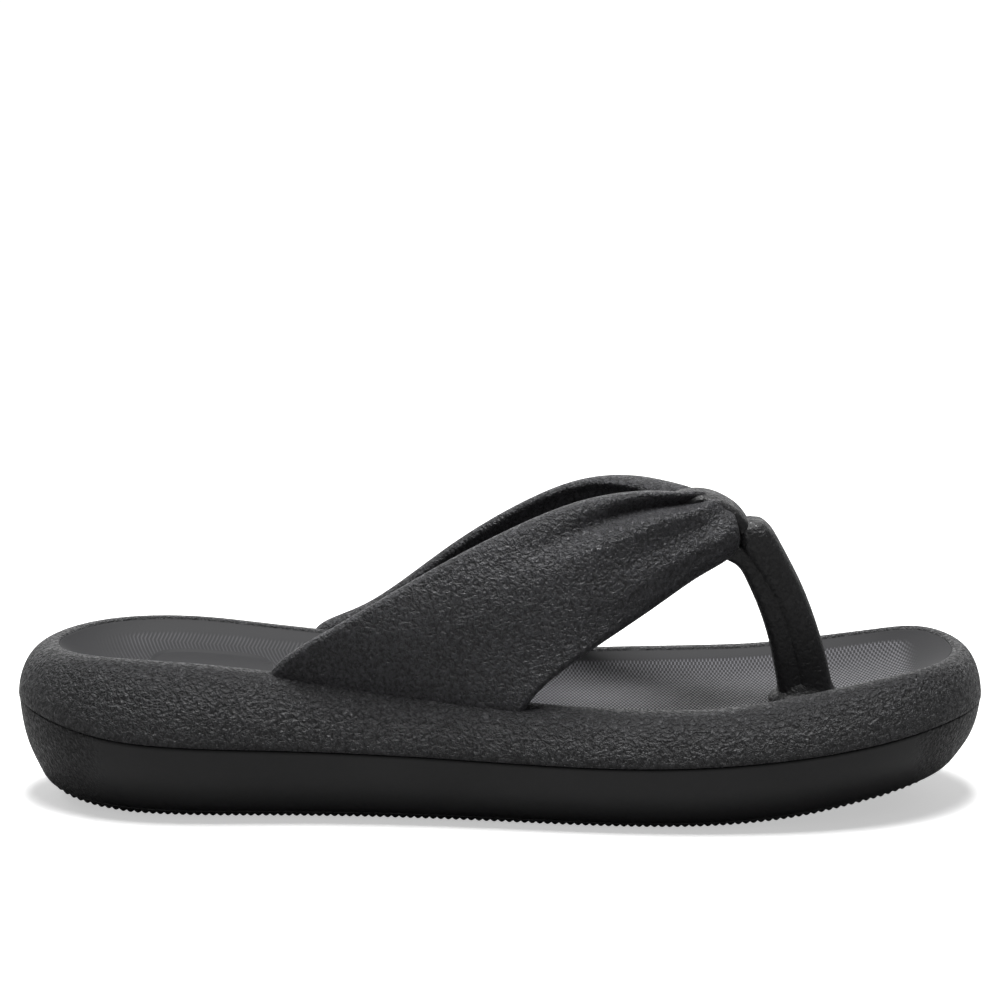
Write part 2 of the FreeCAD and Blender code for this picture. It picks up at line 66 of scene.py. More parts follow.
def smooth_curve(table, at):
    """Natural cubic spline through the rows (station, value, ...) of a table, read at stations."""
    table = np.array(table, float)
    x, y = table[:, 0], table[:, 1:]
    count = len(x)
    step = np.diff(x)
    slope = np.diff(y, axis=0) / step[:, None]
    system = np.eye(count)
    right = np.zeros_like(y)
    for i in range(1, count - 1):
        system[i, i - 1:i + 2] = step[i - 1], 2 * (step[i - 1] + step[i]), step[i]
        right[i] = 6 * (slope[i] - slope[i - 1])
    bend = np.linalg.solve(system, right)
    at = np.clip(np.asarray(at, float), x[0], x[-1])
    i = np.clip(np.searchsorted(x, at) - 1, 0, count - 2)
    h = step[i][..., None]
    a = (x[i + 1] - at)[..., None] / h
    b = 1 - a
    value = (a * y[i] + b * y[i + 1]
             + ((a ** 3 - a) * bend[i] + (b ** 3 - b) * bend[i + 1]) * h * h / 6)
    return value[..., 0] if value.shape[-1] == 1 else value


def closed_spline(poles, count):
    """Points of a closed uniform cubic B-spline."""
    t = np.arange(count) * len(poles) / count
    k = np.floor(t).astype(int)
    f = (t - k)[:, None]
    weights = ((1 - f) ** 3 / 6, (3 * f ** 3 - 6 * f * f + 4) / 6,
               (-3 * f ** 3 + 3 * f * f + 3 * f + 1) / 6, f ** 3 / 6)
    return sum(w * poles[(k + j - 1) % len(poles)] for j, w in enumerate(weights))


def through_rows(table, count):
    """A smooth curve through evenly spaced rows, read at a count of places."""
    rows = [[place, *row] for place, row in enumerate(table)]
    return smooth_curve(rows, np.linspace(0, len(table) - 1, count))


def ease(value, start, end):
    """0 up to start, 1 from end on, and smooth between them."""
    t = np.clip((np.asarray(value, float) - start) / (end - start), 0, 1)
    return t * t * (3 - 2 * t)


def unit(vectors):
    return vectors / np.linalg.norm(vectors, axis=-1, keepdims=True)


# ------------------------------------------------------------------ the sole's shape

# Control points of the outline seen from above, as shares of the length and the ball width.
OUTLINE_ALONG = (-0.41, -0.2375, -0.0725, 0.094, 0.258, 0.43)
OUTLINE_OUTER = (0.42, 0.384, 0.398, 0.475, 0.517, 0.442)
OUTLINE_INNER = (0.422, 0.384, 0.40, 0.486, 0.511, 0.426)
OUTLINE_HEEL = -0.545
OUTLINE_TOE = 0.535
OUTLINE_REACH = 0.9957  # width of the finished curve, as a share of the width that its points use

# Heights along the foot: (distance from the heel tip, height).
RIM_INNER = ((0, 42.2), (12, 43.2), (33, 44.2), (51, 43.5), (71, 41.4), (110, 37.1), (150, 33.4),
             (181, 32.8), (194, 33.2), (208, 34.9), (222, 37.3), (235, 39.5), (248, 41.0), (270, 41.4))
RIM_OUTER = ((0, 42.2), (12, 43.8), (33, 44.4), (49, 43.7), (68, 41.7), (110, 37.0), (150, 33.0),
             (170, 32.6), (193, 32.6), (210, 33.4), (221, 34.9), (232, 36.9), (244, 39.6),
             (254, 42.0), (262, 42.3), (270, 41.4))
PARTING = ((0, 28.2), (7, 26.8), (22, 24.3), (44, 22.7), (83, 21.4), (135, 19.6), (180, 19.2), (203, 20.4),
           (226, 22.6), (245, 25.0), (258, 26.7), (270, 27.8))
BOTTOM = ((0, 4.2), (10, 2.2), (20, 1.1), (31, 0.7), (41, 0.6), (63, 0.5), (124, 0.3), (173, 0),
          (190, 0.25), (206, 1.2), (217, 2.4), (229, 4.2), (240, 5.8), (252, 7.4), (262, 8.6), (270, 9.4))
BED = ((0, 36.6), (12, 36.8), (40, 37.0), (70, 35.0), (110, 31.4), (150, 28.0), (180, 27.0),
       (200, 27.6), (220, 29.4), (240, 33.0), (252, 36.4), (262, 39.2), (270, 41.0))
# Distance from the outline to the crisp inner edge of the rim.
EDGE_INSET = ((0, 11.5), (10, 11.6), (24, 12.6), (40, 13.4), (70, 13.5), (140, 13.5), (200, 13.5),
              (225, 12.8), (240, 11.4), (252, 9.6), (262, 8.6), (270, 8.4))

SIDE_BLEND = 16.0       # the inner and the outer rim heights blend over this far from the middle
RIDGE_BACK = 1.7        # the rim's ridge lies this far outside its inner edge
EDGE_DROP = 0.45        # ... and the inner edge this far below the ridge
DISH_WIDTH = 24.0       # the footbed rises towards the rim over this distance
DISH_POWER = 3.0
# Distance from the outline to the flat of the tread.
BASE_INSET = ((0, 9.8), (25, 10.6), (60, 10.4), (135, 9.6), (200, 10.4), (245, 11.4), (270, 11.0))
SIDE_STEPS = 360        # stations on each side of the sole
DENSE_STEPS = 12000     # points of the outline before it is cut into stations
# Side below the parting line: (share of the drop, share of the base inset).
LOWER_SIDE = ((0, 0), (0.3, 0.10), (0.55, 0.28), (0.78, 0.55), (0.93, 0.80), (1, 1))
OUTSOLE_TOP = 0.90      # share of the drop at which the outsole starts


def sole_outline():
    """Stations around the sole, heel tip, outer side, toe tip, inner side, and inward normals."""
    ball = WIDTH / OUTLINE_REACH
    poles = [(OUTLINE_HEEL * LENGTH, 0.0)]
    poles += [(a * LENGTH, o * ball) for a, o in zip(OUTLINE_ALONG, OUTLINE_OUTER)]
    poles += [(OUTLINE_TOE * LENGTH, 0.0)]
    poles += [(a * LENGTH, -i * ball) for a, i in zip(OUTLINE_ALONG, OUTLINE_INNER)][::-1]
    dense = closed_spline(np.array(poles), DENSE_STEPS)
    dense = np.roll(dense, -int(dense[:, 0].argmin()), axis=0)
    toe = int(dense[:, 0].argmax())
    ring = []
    for part in (dense[:toe + 1], np.vstack([dense[toe:], dense[:1]])):
        gone = np.concatenate([[0], np.cumsum(np.linalg.norm(np.diff(part, axis=0), axis=1))])
        wanted = np.linspace(0, gone[-1], SIDE_STEPS + 1)[:-1]
        ring.append(np.stack([np.interp(wanted, gone, part[:, k]) for k in (0, 1)], axis=1))
    ring = np.vstack(ring)
    ahead = unit(np.roll(ring, -2, axis=0) - np.roll(ring, 2, axis=0))
    return ring, np.stack([ahead[:, 1], -ahead[:, 0]], axis=1)


OUTLINE, INWARD = sole_outline()
COUNT = len(OUTLINE)


def from_heel(x):
    return x - HEEL


def station(distance):
    """Frame x, in metres, at a distance in millimetres from the heel tip."""
    return (distance + HEEL) * MM


def outer_share(y):
    """0 on the inner side of the foot, 1 on the outer side."""
    return ease(y, -SIDE_BLEND, SIDE_BLEND)


def rim_height(x, y):
    share = outer_share(y)
    return ((1 - share) * smooth_curve(RIM_INNER, from_heel(x))
            + share * smooth_curve(RIM_OUTER, from_heel(x)))


def bottom_height(x):
    return np.maximum(smooth_curve(BOTTOM, from_heel(x)), 0)


EDGE = smooth_curve(EDGE_INSET, from_heel(OUTLINE[:, 0]))
RIDGE = EDGE - RIDGE_BACK
PART_LINE = smooth_curve(PARTING, from_heel(OUTLINE[:, 0]))
BASE = smooth_curve(BASE_INSET, from_heel(OUTLINE[:, 0]))


def moved_in(inset):
    return OUTLINE + INWARD * np.broadcast_to(inset, (COUNT,))[:, None]


def level_ring(inset, height):
    """A ring of the sole moved inward, at a height for each station."""
    flat = moved_in(inset)
    return np.column_stack([flat, np.broadcast_to(height, (COUNT,))])


def ridge_ring(inset, drop):
    """A ring that runs a drop below the rim's ridge."""
    flat = moved_in(inset)
    return np.column_stack([flat, rim_height(flat[:, 0], flat[:, 1]) - drop])


BLOCK = 2000            # points measured at a time, to save memory


def distance_inside(points):
    """Distance of points from the outline, and the rim's edge inset at the nearest station."""
    near = np.empty(len(points))
    edge = np.empty(len(points))
    for start in range(0, len(points), BLOCK):
        block = points[start:start + BLOCK]
        gap = ((block[:, None, :] - OUTLINE[None, :, :]) ** 2).sum(axis=2)
        found = gap.argmin(axis=1)
        offset = block - OUTLINE[found]
        near[start:start + BLOCK] = np.abs((offset * INWARD[found]).sum(axis=1))
        edge[start:start + BLOCK] = EDGE[found]
    return near, edge


# ------------------------------------------------------------------ mesh making


def place_in_scene(name, data):
    obj = bpy.data.objects.new(name, data)
    bpy.context.scene.collection.objects.link(obj)
    return obj


def new_object(name, vertices, faces, smooth=True):
    """A mesh from points in millimetres."""
    mesh = bpy.data.meshes.new(name)
    mesh.from_pydata([tuple(v * MM) for v in np.asarray(vertices)], [], faces)
    mesh.validate()
    build = bmesh.new()
    build.from_mesh(mesh)
    bmesh.ops.recalc_face_normals(build, faces=build.faces)
    build.to_mesh(mesh)
    build.free()
    mesh.polygons.foreach_set("use_smooth", [smooth] * len(mesh.polygons))
    mesh.update()
    return place_in_scene(name, mesh)


def ring_faces(rings, count):
    """Quads between rings of equal length, stored one after the other."""
    faces = []
    for r in range(rings - 1):
        a, b = r * count, (r + 1) * count
        faces += [(a + i, a + (i + 1) % count, b + (i + 1) % count, b + i) for i in range(count)]
    return faces


def tube_faces(rings, count):
    """Quads between rings, and a flat face on each end."""
    last = (rings - 1) * count
    return ring_faces(rings, count) + [tuple(range(count)), tuple(range(last, last + count))]


def new_tube(name, rings):
    return new_object(name, np.vstack(rings), tube_faces(len(rings), len(rings[0])))


def ladder_faces(first, half):
    """Closes a ring of 2 * half stations with rungs from one side to the other."""
    end = first + 2 * half
    faces = [(first, first + 1, end - 1), (first + half - 1, first + half, first + half + 1)]
    faces += [(first + k, first + k + 1, end - k - 1, end - k) for k in range(1, half - 1)]
    return faces


def new_shell(name, rings):
    """An object from rings all around the sole, closed by rungs on both ends."""
    faces = ring_faces(len(rings), COUNT)
    faces += ladder_faces(0, SIDE_STEPS)
    faces += ladder_faces((len(rings) - 1) * COUNT, SIDE_STEPS)
    return new_object(name, np.vstack(rings), faces)


def ladder_grid(ring, columns):
    """Rows of points between the two sides of a ring, without the two tips."""
    half = len(ring) // 2
    left, right = ring[1:half], ring[:half:-1]
    share = np.linspace(0, 1, columns)[None, 1:-1, None]
    return left[:, None] * (1 - share) + right[:, None] * share


def set_attribute(obj, name, values):
    layer = obj.data.attributes.new(name, "FLOAT", "POINT")
    layer.data.foreach_set("value", np.asarray(values, np.float32))


def finish_piece(obj, material, node):
    obj.data.materials.append(material)
    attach(obj, BODY)
    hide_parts(node)
    return obj


# ------------------------------------------------------------------ the sole's pieces

# Where the two foam halves meet: (inset, height above the parting line).
UPPER_JOINT = ((7.0, 0.05), (0.9, 0.04), (0.24, 0.08), (0.06, 0.28))
LOWER_JOINT = ((7.0, -0.05), (1.1, -0.07), (0.50, -0.12), (0.28, -0.4))
RIM_START = 0.1             # the rim's round starts this far above the parting line
RIM_ANGLES = (4, 90, 20)    # of the rim's round in degrees: first, last, how many
# From the rim's ridge to its edge: (share of RIDGE_BACK, share of EDGE_DROP).
RIM_LIP = ((0.35, 0.06), (0.65, 0.32), (0.85, 0.7), (0.96, 1.0), (1.02, 1.4))
# Inside the edge, down behind the footbed: (distance from the edge, drop below the rim's height).
RIM_WALL = ((0.4, 1.6), (1.2, 3.4), (3.0, 7.0), (4.2, 10.0))


def make_upper_midsole():
    rings = [level_ring(inset, PART_LINE + rise) for inset, rise in UPPER_JOINT]
    foot = PART_LINE + RIM_START
    for angle in np.radians(np.linspace(*RIM_ANGLES)):
        inset = RIDGE * (1 - math.cos(angle))
        top = rim_height(moved_in(RIDGE)[:, 0], moved_in(inset)[:, 1])
        rings.append(level_ring(inset, foot + (top - foot) * math.sin(angle)))
    rings += [ridge_ring(RIDGE + RIDGE_BACK * across, EDGE_DROP * drop) for across, drop in RIM_LIP]
    rings += [ridge_ring(EDGE + more, drop) for more, drop in RIM_WALL]
    return new_shell("upper_midsole_rim", rings)


def lower_side(share):
    """Inset and height of the side below the parting line at a share of the drop."""
    base = bottom_height(moved_in(BASE)[:, 0])
    return BASE * smooth_curve(LOWER_SIDE, share), PART_LINE - (PART_LINE - base) * share


LOWER_STEP = 0.22                       # the lower half's side lies this far inside the upper's
LOWER_SHARES = (0.06, OUTSOLE_TOP, 22)  # of the drop: first, last, how many
# Round and face on top of the outsole: (distance in from the side, fall).
LOWER_FOOT = ((0.32, 0.08), (0.7, 0.12), (4.0, 0.14))


def make_lower_midsole():
    rings = [level_ring(inset, PART_LINE + rise) for inset, rise in LOWER_JOINT]
    for share in np.linspace(*LOWER_SHARES):
        inset, height = lower_side(share)
        rings.append(level_ring(inset + LOWER_STEP, height))
    inset, height = lower_side(OUTSOLE_TOP)
    rings += [level_ring(inset + more, height - fall) for more, fall in LOWER_FOOT]
    return new_shell("lower_midsole_shell", rings)


TREAD_PITCH = 2.1
TREAD_DEPTH = 0.62
TREAD_STEP = TREAD_PITCH / 8
TREAD_COLUMNS = 44
TREAD_END = 0.02        # the first and last rows lie this far inside the outsole's ends
TREAD_INSET = 0.45      # the outsole's side lies this far inside the midsole's
TREAD_GAP = 0.05        # between the outsole's top and the midsole
TREAD_LEAST = 0.35      # least thickness of the outsole, at its side
SIDE_READINGS = 40      # places where the curve of the side is read
TOP_STRIDE = 4          # the flat top keeps one column in four


def tread_grid():
    """Rows of points across the foot, from heel to toe."""
    start, _ = lower_side(OUTSOLE_TOP)
    edge = moved_in(start + TREAD_INSET)
    xs = np.arange(edge[:, 0].min() + TREAD_END, edge[:, 0].max() - TREAD_END, TREAD_STEP)
    sides = edge[:SIDE_STEPS + 1], np.vstack([edge[SIDE_STEPS:], edge[:1]])[::-1]
    outer, inner = [np.interp(xs, side[:, 0], side[:, 1])[:, None] for side in sides]
    across = (1 - np.cos(np.linspace(0, math.pi, TREAD_COLUMNS))) / 2
    return np.repeat(xs[:, None], TREAD_COLUMNS, axis=1), outer * (1 - across) + inner * across


def tread_heights(x, y):
    """Heights of the outsole's toothed underside and of its top."""
    near, _ = distance_inside(np.stack([x.ravel(), y.ravel()], axis=1))
    near = near.reshape(x.shape) / smooth_curve(BASE_INSET, from_heel(x))
    # The share of the drop at a distance from the side: the side's curve, read the other way.
    shares = np.linspace(OUTSOLE_TOP, 1, SIDE_READINGS)
    share = np.interp(near, smooth_curve(LOWER_SIDE, shares), shares, right=1.0)
    base = bottom_height(x)
    drop = smooth_curve(PARTING, from_heel(x)) - base
    tooth = 1 - np.abs(np.sin(math.pi * from_heel(x) / TREAD_PITCH))
    under = base + drop * (1 - share) + TREAD_DEPTH * tooth
    top = base + drop * (1 - OUTSOLE_TOP) - TREAD_GAP
    return np.minimum(under, top - TREAD_LEAST), top


def make_outsole():
    """A slab of narrow rows across the foot, so that every tooth is really there."""
    x, y = tread_grid()
    under, top = tread_heights(x, y)
    rows = []
    for i in range(len(x)):
        below = np.column_stack([x[i], y[i], under[i]])
        above = np.column_stack([x[i], y[i], top[i]])[::-TOP_STRIDE]
        rows.append(np.vstack([below, above]))
    return new_tube("outsole_tread", rows)


BED_COLUMNS = 60
PATCH_CENTRE = (54.0, -2.0)      # smooth patch at the heel: from the heel tip, then across
PATCH_HALF = (17.0, 15.5)
PATCH_POWER = 4.0
PATCH_DEPTH = 0.45
PATCH_ROUND = 0.965     # the patch's floor starts to rise at this share of its outline
BED_STEP = 0.12         # the footbed's edge lies this far below the rim's
# Underside and hidden edge: (distance in from the rim's edge, drop below the rim's height).
BED_UNDER = ((4.0, 9.0), (1.4, 6.5), (0.1, 2.0))
BED_DEPTHS = (0.0, 0.4, 0.9, 1.5, 2.2, 3.0, 4.0, 5.0, 6.2, 7.4, 8.6, 9.8, 11.0)


def patch_distance(x, y):
    """About 1 on the outline of the heel patch, less inside it."""
    along = np.abs((from_heel(x) - PATCH_CENTRE[0]) / PATCH_HALF[0]) ** PATCH_POWER
    across = np.abs((y - PATCH_CENTRE[1]) / PATCH_HALF[1]) ** PATCH_POWER
    return (along + across) ** (1 / PATCH_POWER)


def bed_height(flat, depth):
    """Height of the footbed at points a depth inside the rim's inner edge."""
    x, y = flat[:, 0], flat[:, 1]
    edge = rim_height(x, y) - EDGE_DROP - BED_STEP
    bed = smooth_curve(BED, from_heel(x))
    fall = np.clip(1 - depth / DISH_WIDTH, 0, 1) ** DISH_POWER
    height = bed + (edge - bed) * fall
    return height - PATCH_DEPTH * (1 - ease(patch_distance(x, y), PATCH_ROUND, 1.0))


def bed_floor_faces(base, grid, rows, columns):
    """Faces over a grid of points, out to the ring that starts at base, with a fan at each tip."""
    lines = [[base + 1 + i, *range(grid + i * columns, grid + (i + 1) * columns), base + COUNT - 1 - i]
             for i in range(rows)]
    steps = range(columns + 1)
    faces = [(base, lines[0][j], lines[0][j + 1]) for j in steps]
    for old, line in zip(lines, lines[1:]):
        faces += [(old[j], old[j + 1], line[j + 1], line[j]) for j in steps]
    return faces + [(lines[-1][j], lines[-1][j + 1], base + SIDE_STEPS) for j in steps]


def make_footbed():
    rings = [ridge_ring(EDGE + more, drop) for more, drop in BED_UNDER]
    for depth in BED_DEPTHS:
        flat = moved_in(EDGE + depth)
        rings.append(np.column_stack([flat, bed_height(flat, depth)]))
    depths = np.repeat([-1.0] * len(BED_UNDER) + list(BED_DEPTHS), COUNT)
    points = ladder_grid(rings[-1], BED_COLUMNS)
    rows, columns = points.shape[:2]
    flat = points.reshape(-1, 3)[:, :2]
    near, edge = distance_inside(flat)
    inside = np.column_stack([flat, bed_height(flat, near - edge)])
    last = (len(rings) - 1) * COUNT
    faces = ring_faces(len(rings), COUNT)
    faces += ladder_faces(0, SIDE_STEPS)
    faces += bed_floor_faces(last, last + COUNT, rows, columns)
    obj = new_object("footbed_insole", np.vstack(rings + [inside]), faces)
    set_attribute(obj, "depth", np.concatenate([depths, near - edge]))
    return obj


# ------------------------------------------------------------------ the side straps

# Each row: rear edge (from heel, across, up), front edge, outward bulge, thickness, pleating.
MEDIAL_WING = (
    ((75.0, -25.8, 26.0), (142.0, -33.0, 22.0), -1.5, 4.8, 0.0),
    ((71.8, -27.4, 41.0), (142.5, -35.6, 33.5), -0.6, 4.8, 0.0),
    ((90.5, -31.2, 55.6), (153.0, -34.2, 43.9), 0.6, 4.8, 0.0),
    ((119.0, -28.8, 72.1), (166.0, -29.6, 52.0), 3.2, 4.8, 0.0),
    ((146.0, -22.8, 84.4), (179.0, -24.0, 59.7), 4.4, 5.0, 0.5),
    ((163.0, -17.0, 88.6), (189.4, -19.2, 65.9), 4.2, 5.6, 1.0),
    ((175.6, -12.0, 88.8), (197.6, -16.2, 70.2), 3.2, 7.0, 1.0),
    ((183.6, -9.8, 88.0), (201.2, -15.4, 74.6), 1.8, 7.6, 0.9),
    ((188.5, -8.8, 86.7), (200.2, -14.0, 77.8), 0.8, 6.4, 0.5),
    ((191.6, -8.4, 85.0), (197.6, -11.6, 79.2), 0.0, 3.8, 0.0),
)
LATERAL_WING = (
    ((90.0, 28.0, 24.0), (149.0, 33.5, 22.0), -1.5, 4.8, 0.0),
    ((82.0, 30.4, 38.5), (149.5, 36.2, 32.6), -1.5, 4.8, 0.0),
    ((96.0, 30.6, 46.0), (158.0, 34.4, 42.4), 0.6, 4.8, 0.0),
    ((120.0, 29.0, 63.4), (168.0, 29.6, 50.8), 3.2, 4.8, 0.0),
    ((143.0, 24.2, 78.4), (179.0, 22.4, 58.4), 4.4, 5.0, 0.45),
    ((160.0, 18.8, 85.4), (188.4, 13.6, 64.0), 4.2, 5.6, 1.0),
    ((174.0, 10.6, 86.3), (196.6, 5.6, 68.8), 3.2, 7.0, 1.0),
    ((183.0, 3.6, 85.0), (201.4, 1.4, 74.4), 1.8, 7.6, 0.7),
    ((188.5, -0.8, 84.2), (200.0, -0.8, 79.2), 0.6, 6.4, 0.3),
    ((194.0, -3.0, 83.6), (199.0, -2.6, 81.2), 0.0, 4.0, 0.0),
)
# Pleats across a wing, from the rear edge (0) to the front edge (1): (place, width, height).
PLEATS = ((0.07, 0.06, 0.8), (0.24, 0.08, -3.4), (0.42, 0.085, 1.2), (0.62, 0.08, -0.7),
          (0.80, 0.06, 0.5))
INNER_PLEATS = 0.55     # height of the pleats on the inner face, as a share of the outer
ROUND_LIMIT = 0.48      # most of a narrow end's width that one round edge may take
WING_RINGS = 200
FACE_STEPS = 56
EDGE_ANGLES = 7


def wing_section(length, half):
    """Around one section: distances along its chord, and shares of its half thickness."""
    arc = np.radians(np.linspace(0, 90, EDGE_ANGLES + 1))
    run, side = half * (1 - np.cos(arc)), np.sin(arc)
    face = half + (length - 2 * half) * np.linspace(0, 1, FACE_STEPS)
    flat = np.ones(FACE_STEPS)
    runs = (run[:-1], face, length - run[-2::-1], length - run[1:-1], face[::-1], run[-2:0:-1])
    sides = (side[:-1], flat, side[-2::-1], -side[1:-1], -flat, -side[-2:0:-1])
    return np.concatenate(runs), np.concatenate(sides)


def make_wing(name, table, outward):
    """A strap of rounded section, through the rows of a table; outward is its side's sign."""
    made = through_rows([(*rear, *front, *rest) for rear, front, *rest in table], WING_RINGS)
    rear, front = made[:, 0:3] + (HEEL, 0, 0), made[:, 3:6] + (HEEL, 0, 0)
    bulge, thick, pleat = made[:, 6], made[:, 7], np.maximum(made[:, 8], 0)
    length = np.linalg.norm(front - rear, axis=1)
    chord = unit(front - rear)
    normal = unit(np.cross(np.gradient((rear + front) / 2, axis=0), chord))
    normal[normal[:, 1] * outward < 0] *= -1
    rings = []
    for k in range(WING_RINGS):
        half = min(thick[k] / 2, ROUND_LIMIT * length[k])
        run, side = wing_section(length[k], half)
        share = run / length[k]
        fold = sum(rise * np.exp(-((share - place) / width) ** 2) for place, width, rise in PLEATS)
        fold = fold * np.where(side > 0, 1.0, INNER_PLEATS)
        lift = bulge[k] * 4 * share * (1 - share) + pleat[k] * fold + half * side
        rings.append(rear[k] + np.outer(run, chord[k]) + np.outer(lift, normal[k]))
    return new_tube(name, rings)


# ------------------------------------------------------------------ the toe strap

POST_SIDE = -7.0        # the toe strap's middle, across the foot
# Each row: from heel, up, half thickness, half width.
FRONT_LEG = ((223.6, 22.0, 5.4, 6.3), (222.8, 30.0, 5.2, 6.2), (221.2, 39.0, 5.0, 6.1),
             (218.8, 48.0, 4.8, 6.1), (215.6, 57.0, 4.7, 6.1), (212.0, 64.4, 4.8, 6.3),
             (208.6, 70.2, 5.1, 6.7), (206.1, 74.5, 5.1, 6.9), (204.7, 77.3, 4.2, 6.4),
             (204.0, 78.9, 2.9, 5.2), (203.7, 80.0, 1.2, 3.0))
REAR_LEG = ((217.8, 22.0, 4.6, 5.9), (217.2, 30.0, 4.5, 5.8), (215.6, 39.0, 4.3, 5.7),
            (213.4, 48.0, 4.1, 5.7), (210.2, 57.0, 3.9, 5.7), (206.8, 64.0, 3.6, 5.7),
            (202.4, 69.8, 3.2, 5.8), (194.5, 72.8, 2.7, 5.8), (187.6, 75.2, 2.6, 5.8),
            (182.4, 79.4, 2.5, 5.9), (183.2, 83.8, 2.4, 6.2), (187.6, 85.6, 2.4, 6.4),
            (192.6, 85.3, 2.4, 6.6), (196.8, 83.5, 2.4, 6.6), (200.1, 80.9, 2.4, 6.4),
            (202.8, 77.0, 2.2, 5.6))
BAND_STEPS = 150
BAND_LOOP = 56
BAND_POWER = 3.2


def super_loop(count, power):
    """A closed loop between a circle (power 2) and a square, one unit each way."""
    angle = np.linspace(0, 2 * math.pi, count, endpoint=False)
    c, s = np.cos(angle), np.sin(angle)
    return np.sign(c) * np.abs(c) ** (2 / power), np.sign(s) * np.abs(s) ** (2 / power)


def band_rings(table):
    """Rings of a strap that runs along a line in the plane of the toe strap."""
    made = through_rows(table, BAND_STEPS)
    made[:, 0] += HEEL
    ahead = unit(np.gradient(made[:, :2], axis=0))
    a, b = super_loop(BAND_LOOP, BAND_POWER)
    rings = []
    for (x, z, thick, wide), (ahead_x, ahead_z) in zip(made, ahead):
        rings.append(np.column_stack([x + ahead_z * thick * a, POST_SIDE + wide * b,
                                      z - ahead_x * thick * a]))
    return rings


def make_toe_strap():
    """Both legs of the folded band, in one object."""
    rings, faces = [], []
    for table in (FRONT_LEG, REAR_LEG):
        start = len(rings) * BAND_LOOP
        rings += band_rings(table)
        faces += [tuple(start + i for i in face) for face in tube_faces(BAND_STEPS, BAND_LOOP)]
    return new_object("toe_strap_loop", np.vstack(rings), faces)


# Each row: rise above the footbed, half length, half width.
COLLAR = ((-3.0, 10.8, 9.2), (-0.6, 10.3, 8.7), (0.3, 9.9, 8.3), (0.9, 9.3, 7.7), (1.4, 8.6, 7.1),
          (2.2, 8.0, 6.6), (3.4, 7.5, 6.2), (4.5, 6.8, 5.6), (4.9, 5.6, 4.4), (4.7, 4.2, 3.0))
COLLAR_STATION = 220.4
COLLAR_STEPS = 50
COLLAR_LOOP = 96
COLLAR_POWER = 2.8


def make_collar():
    a, b = super_loop(COLLAR_LOOP, COLLAR_POWER)
    x, base = COLLAR_STATION + HEEL, float(smooth_curve(BED, COLLAR_STATION))
    rings = [np.column_stack([x + half * a, POST_SIDE + wide * b, np.full(COLLAR_LOOP, base + rise)])
             for rise, half, wide in through_rows(COLLAR, COLLAR_STEPS)]
    return new_tube("toe_post_flare", rings)


# ------------------------------------------------------------------ materials

# Colours of each surface: dark in the hollows of its grain, which is painted shade, and paler on the
# crests, which is a painted highlight; the grain's own pattern shows in the colour too.
RIM_TONES = ((0.008, 0.008, 0.0088), (0.035, 0.035, 0.0377))
SIDE_TONES = ((0.0055, 0.0055, 0.0061), (0.012, 0.012, 0.0129))
OUTSOLE_TONES = ((0.010, 0.010, 0.011), (0.020, 0.020, 0.0215))
BED_TONES = ((0.016, 0.016, 0.0176), (0.105, 0.104, 0.114))
STRAP_TONES = ((0.0085, 0.0085, 0.0096), (0.040, 0.040, 0.045))
# The toe post's tones are far darker than the straps': painted shade standing in for the shadow that the
# straps cast on the post and its flare.
POST_TONES_PAINTED_SHADE = ((0.004, 0.004, 0.0045), (0.011, 0.011, 0.012))
ANCHOR_TONES = ((0.05, 0.05, 0.055), (0.07, 0.07, 0.075))
# Roughness in the hollows and on the crests.
FOAM_ROUGHNESS = (0.60, 0.34)
BED_ROUGHNESS = (0.72, 0.46)

# Scale of the grain: pebbles for each metre.
COARSE_CELLS = 660.0
FOAM_CELLS = 1120.0
STRAP_CELLS = 1200.0
# Its creases wander: how far, and the scale of the wandering.
DRIFT = 1.6
DRIFT_SCALE = 480.0
# Shares of the grain's three layers, and the scales of two of them as shares of the pebbles'.
PEBBLES, WRINKLES, FINE = 0.26, 0.56, 0.18
WRINKLE_SCALE, FINE_SCALE = 0.75, 2.4
MIDDLE_GRAIN = 0.5
# Share of a surface's tone that comes from soft clouds, not from its relief, and their scale.
CLOUDS = 0.25
CLOUD_SCALE = 45.0
# The finest bumps: their scale and their depth.
FOAM_POWDER = (1700.0, 0.04)
BED_POWDER = (1500.0, 0.05)

# Stretches of the foot over which a surface changes, from the heel tip: where it starts to
# change, and where the change is full.
GRAINED_HEEL, GRAINED_TOE = (29, 15), (247, 256)
TEXTURE_FROM_HEEL, TEXTURE_FROM_TOE = (19, 35), (254, 245)
DIAMONDS_AHEAD = (119, 135)
# The footbed's texture starts over this stretch, counted from its edge.
BORDER = (2.8, 5.0)
# ... and over this one around the heel patch, counted as patch_distance to PATCH_POWER.
PATCH_BORDER = (1.02, 1.10)

BED_RELIEF = 0.28
MESH_PITCH = (1.06, 3.3)        # diamonds of the forefoot, along and across the foot
RIB_PITCH = 1.08
RIB_ZIGZAG = 13.0
ZIGZAG_START = 100.0            # the zigzag is counted from this far to the inner side
RIB_SLANT = 3.6
RIB_RELIEF = (0.08, 0.38)       # the ribs as shares of the diamonds' relief, low and high
PLAIN_TONE = 0.06               # tone of the footbed where it has no texture


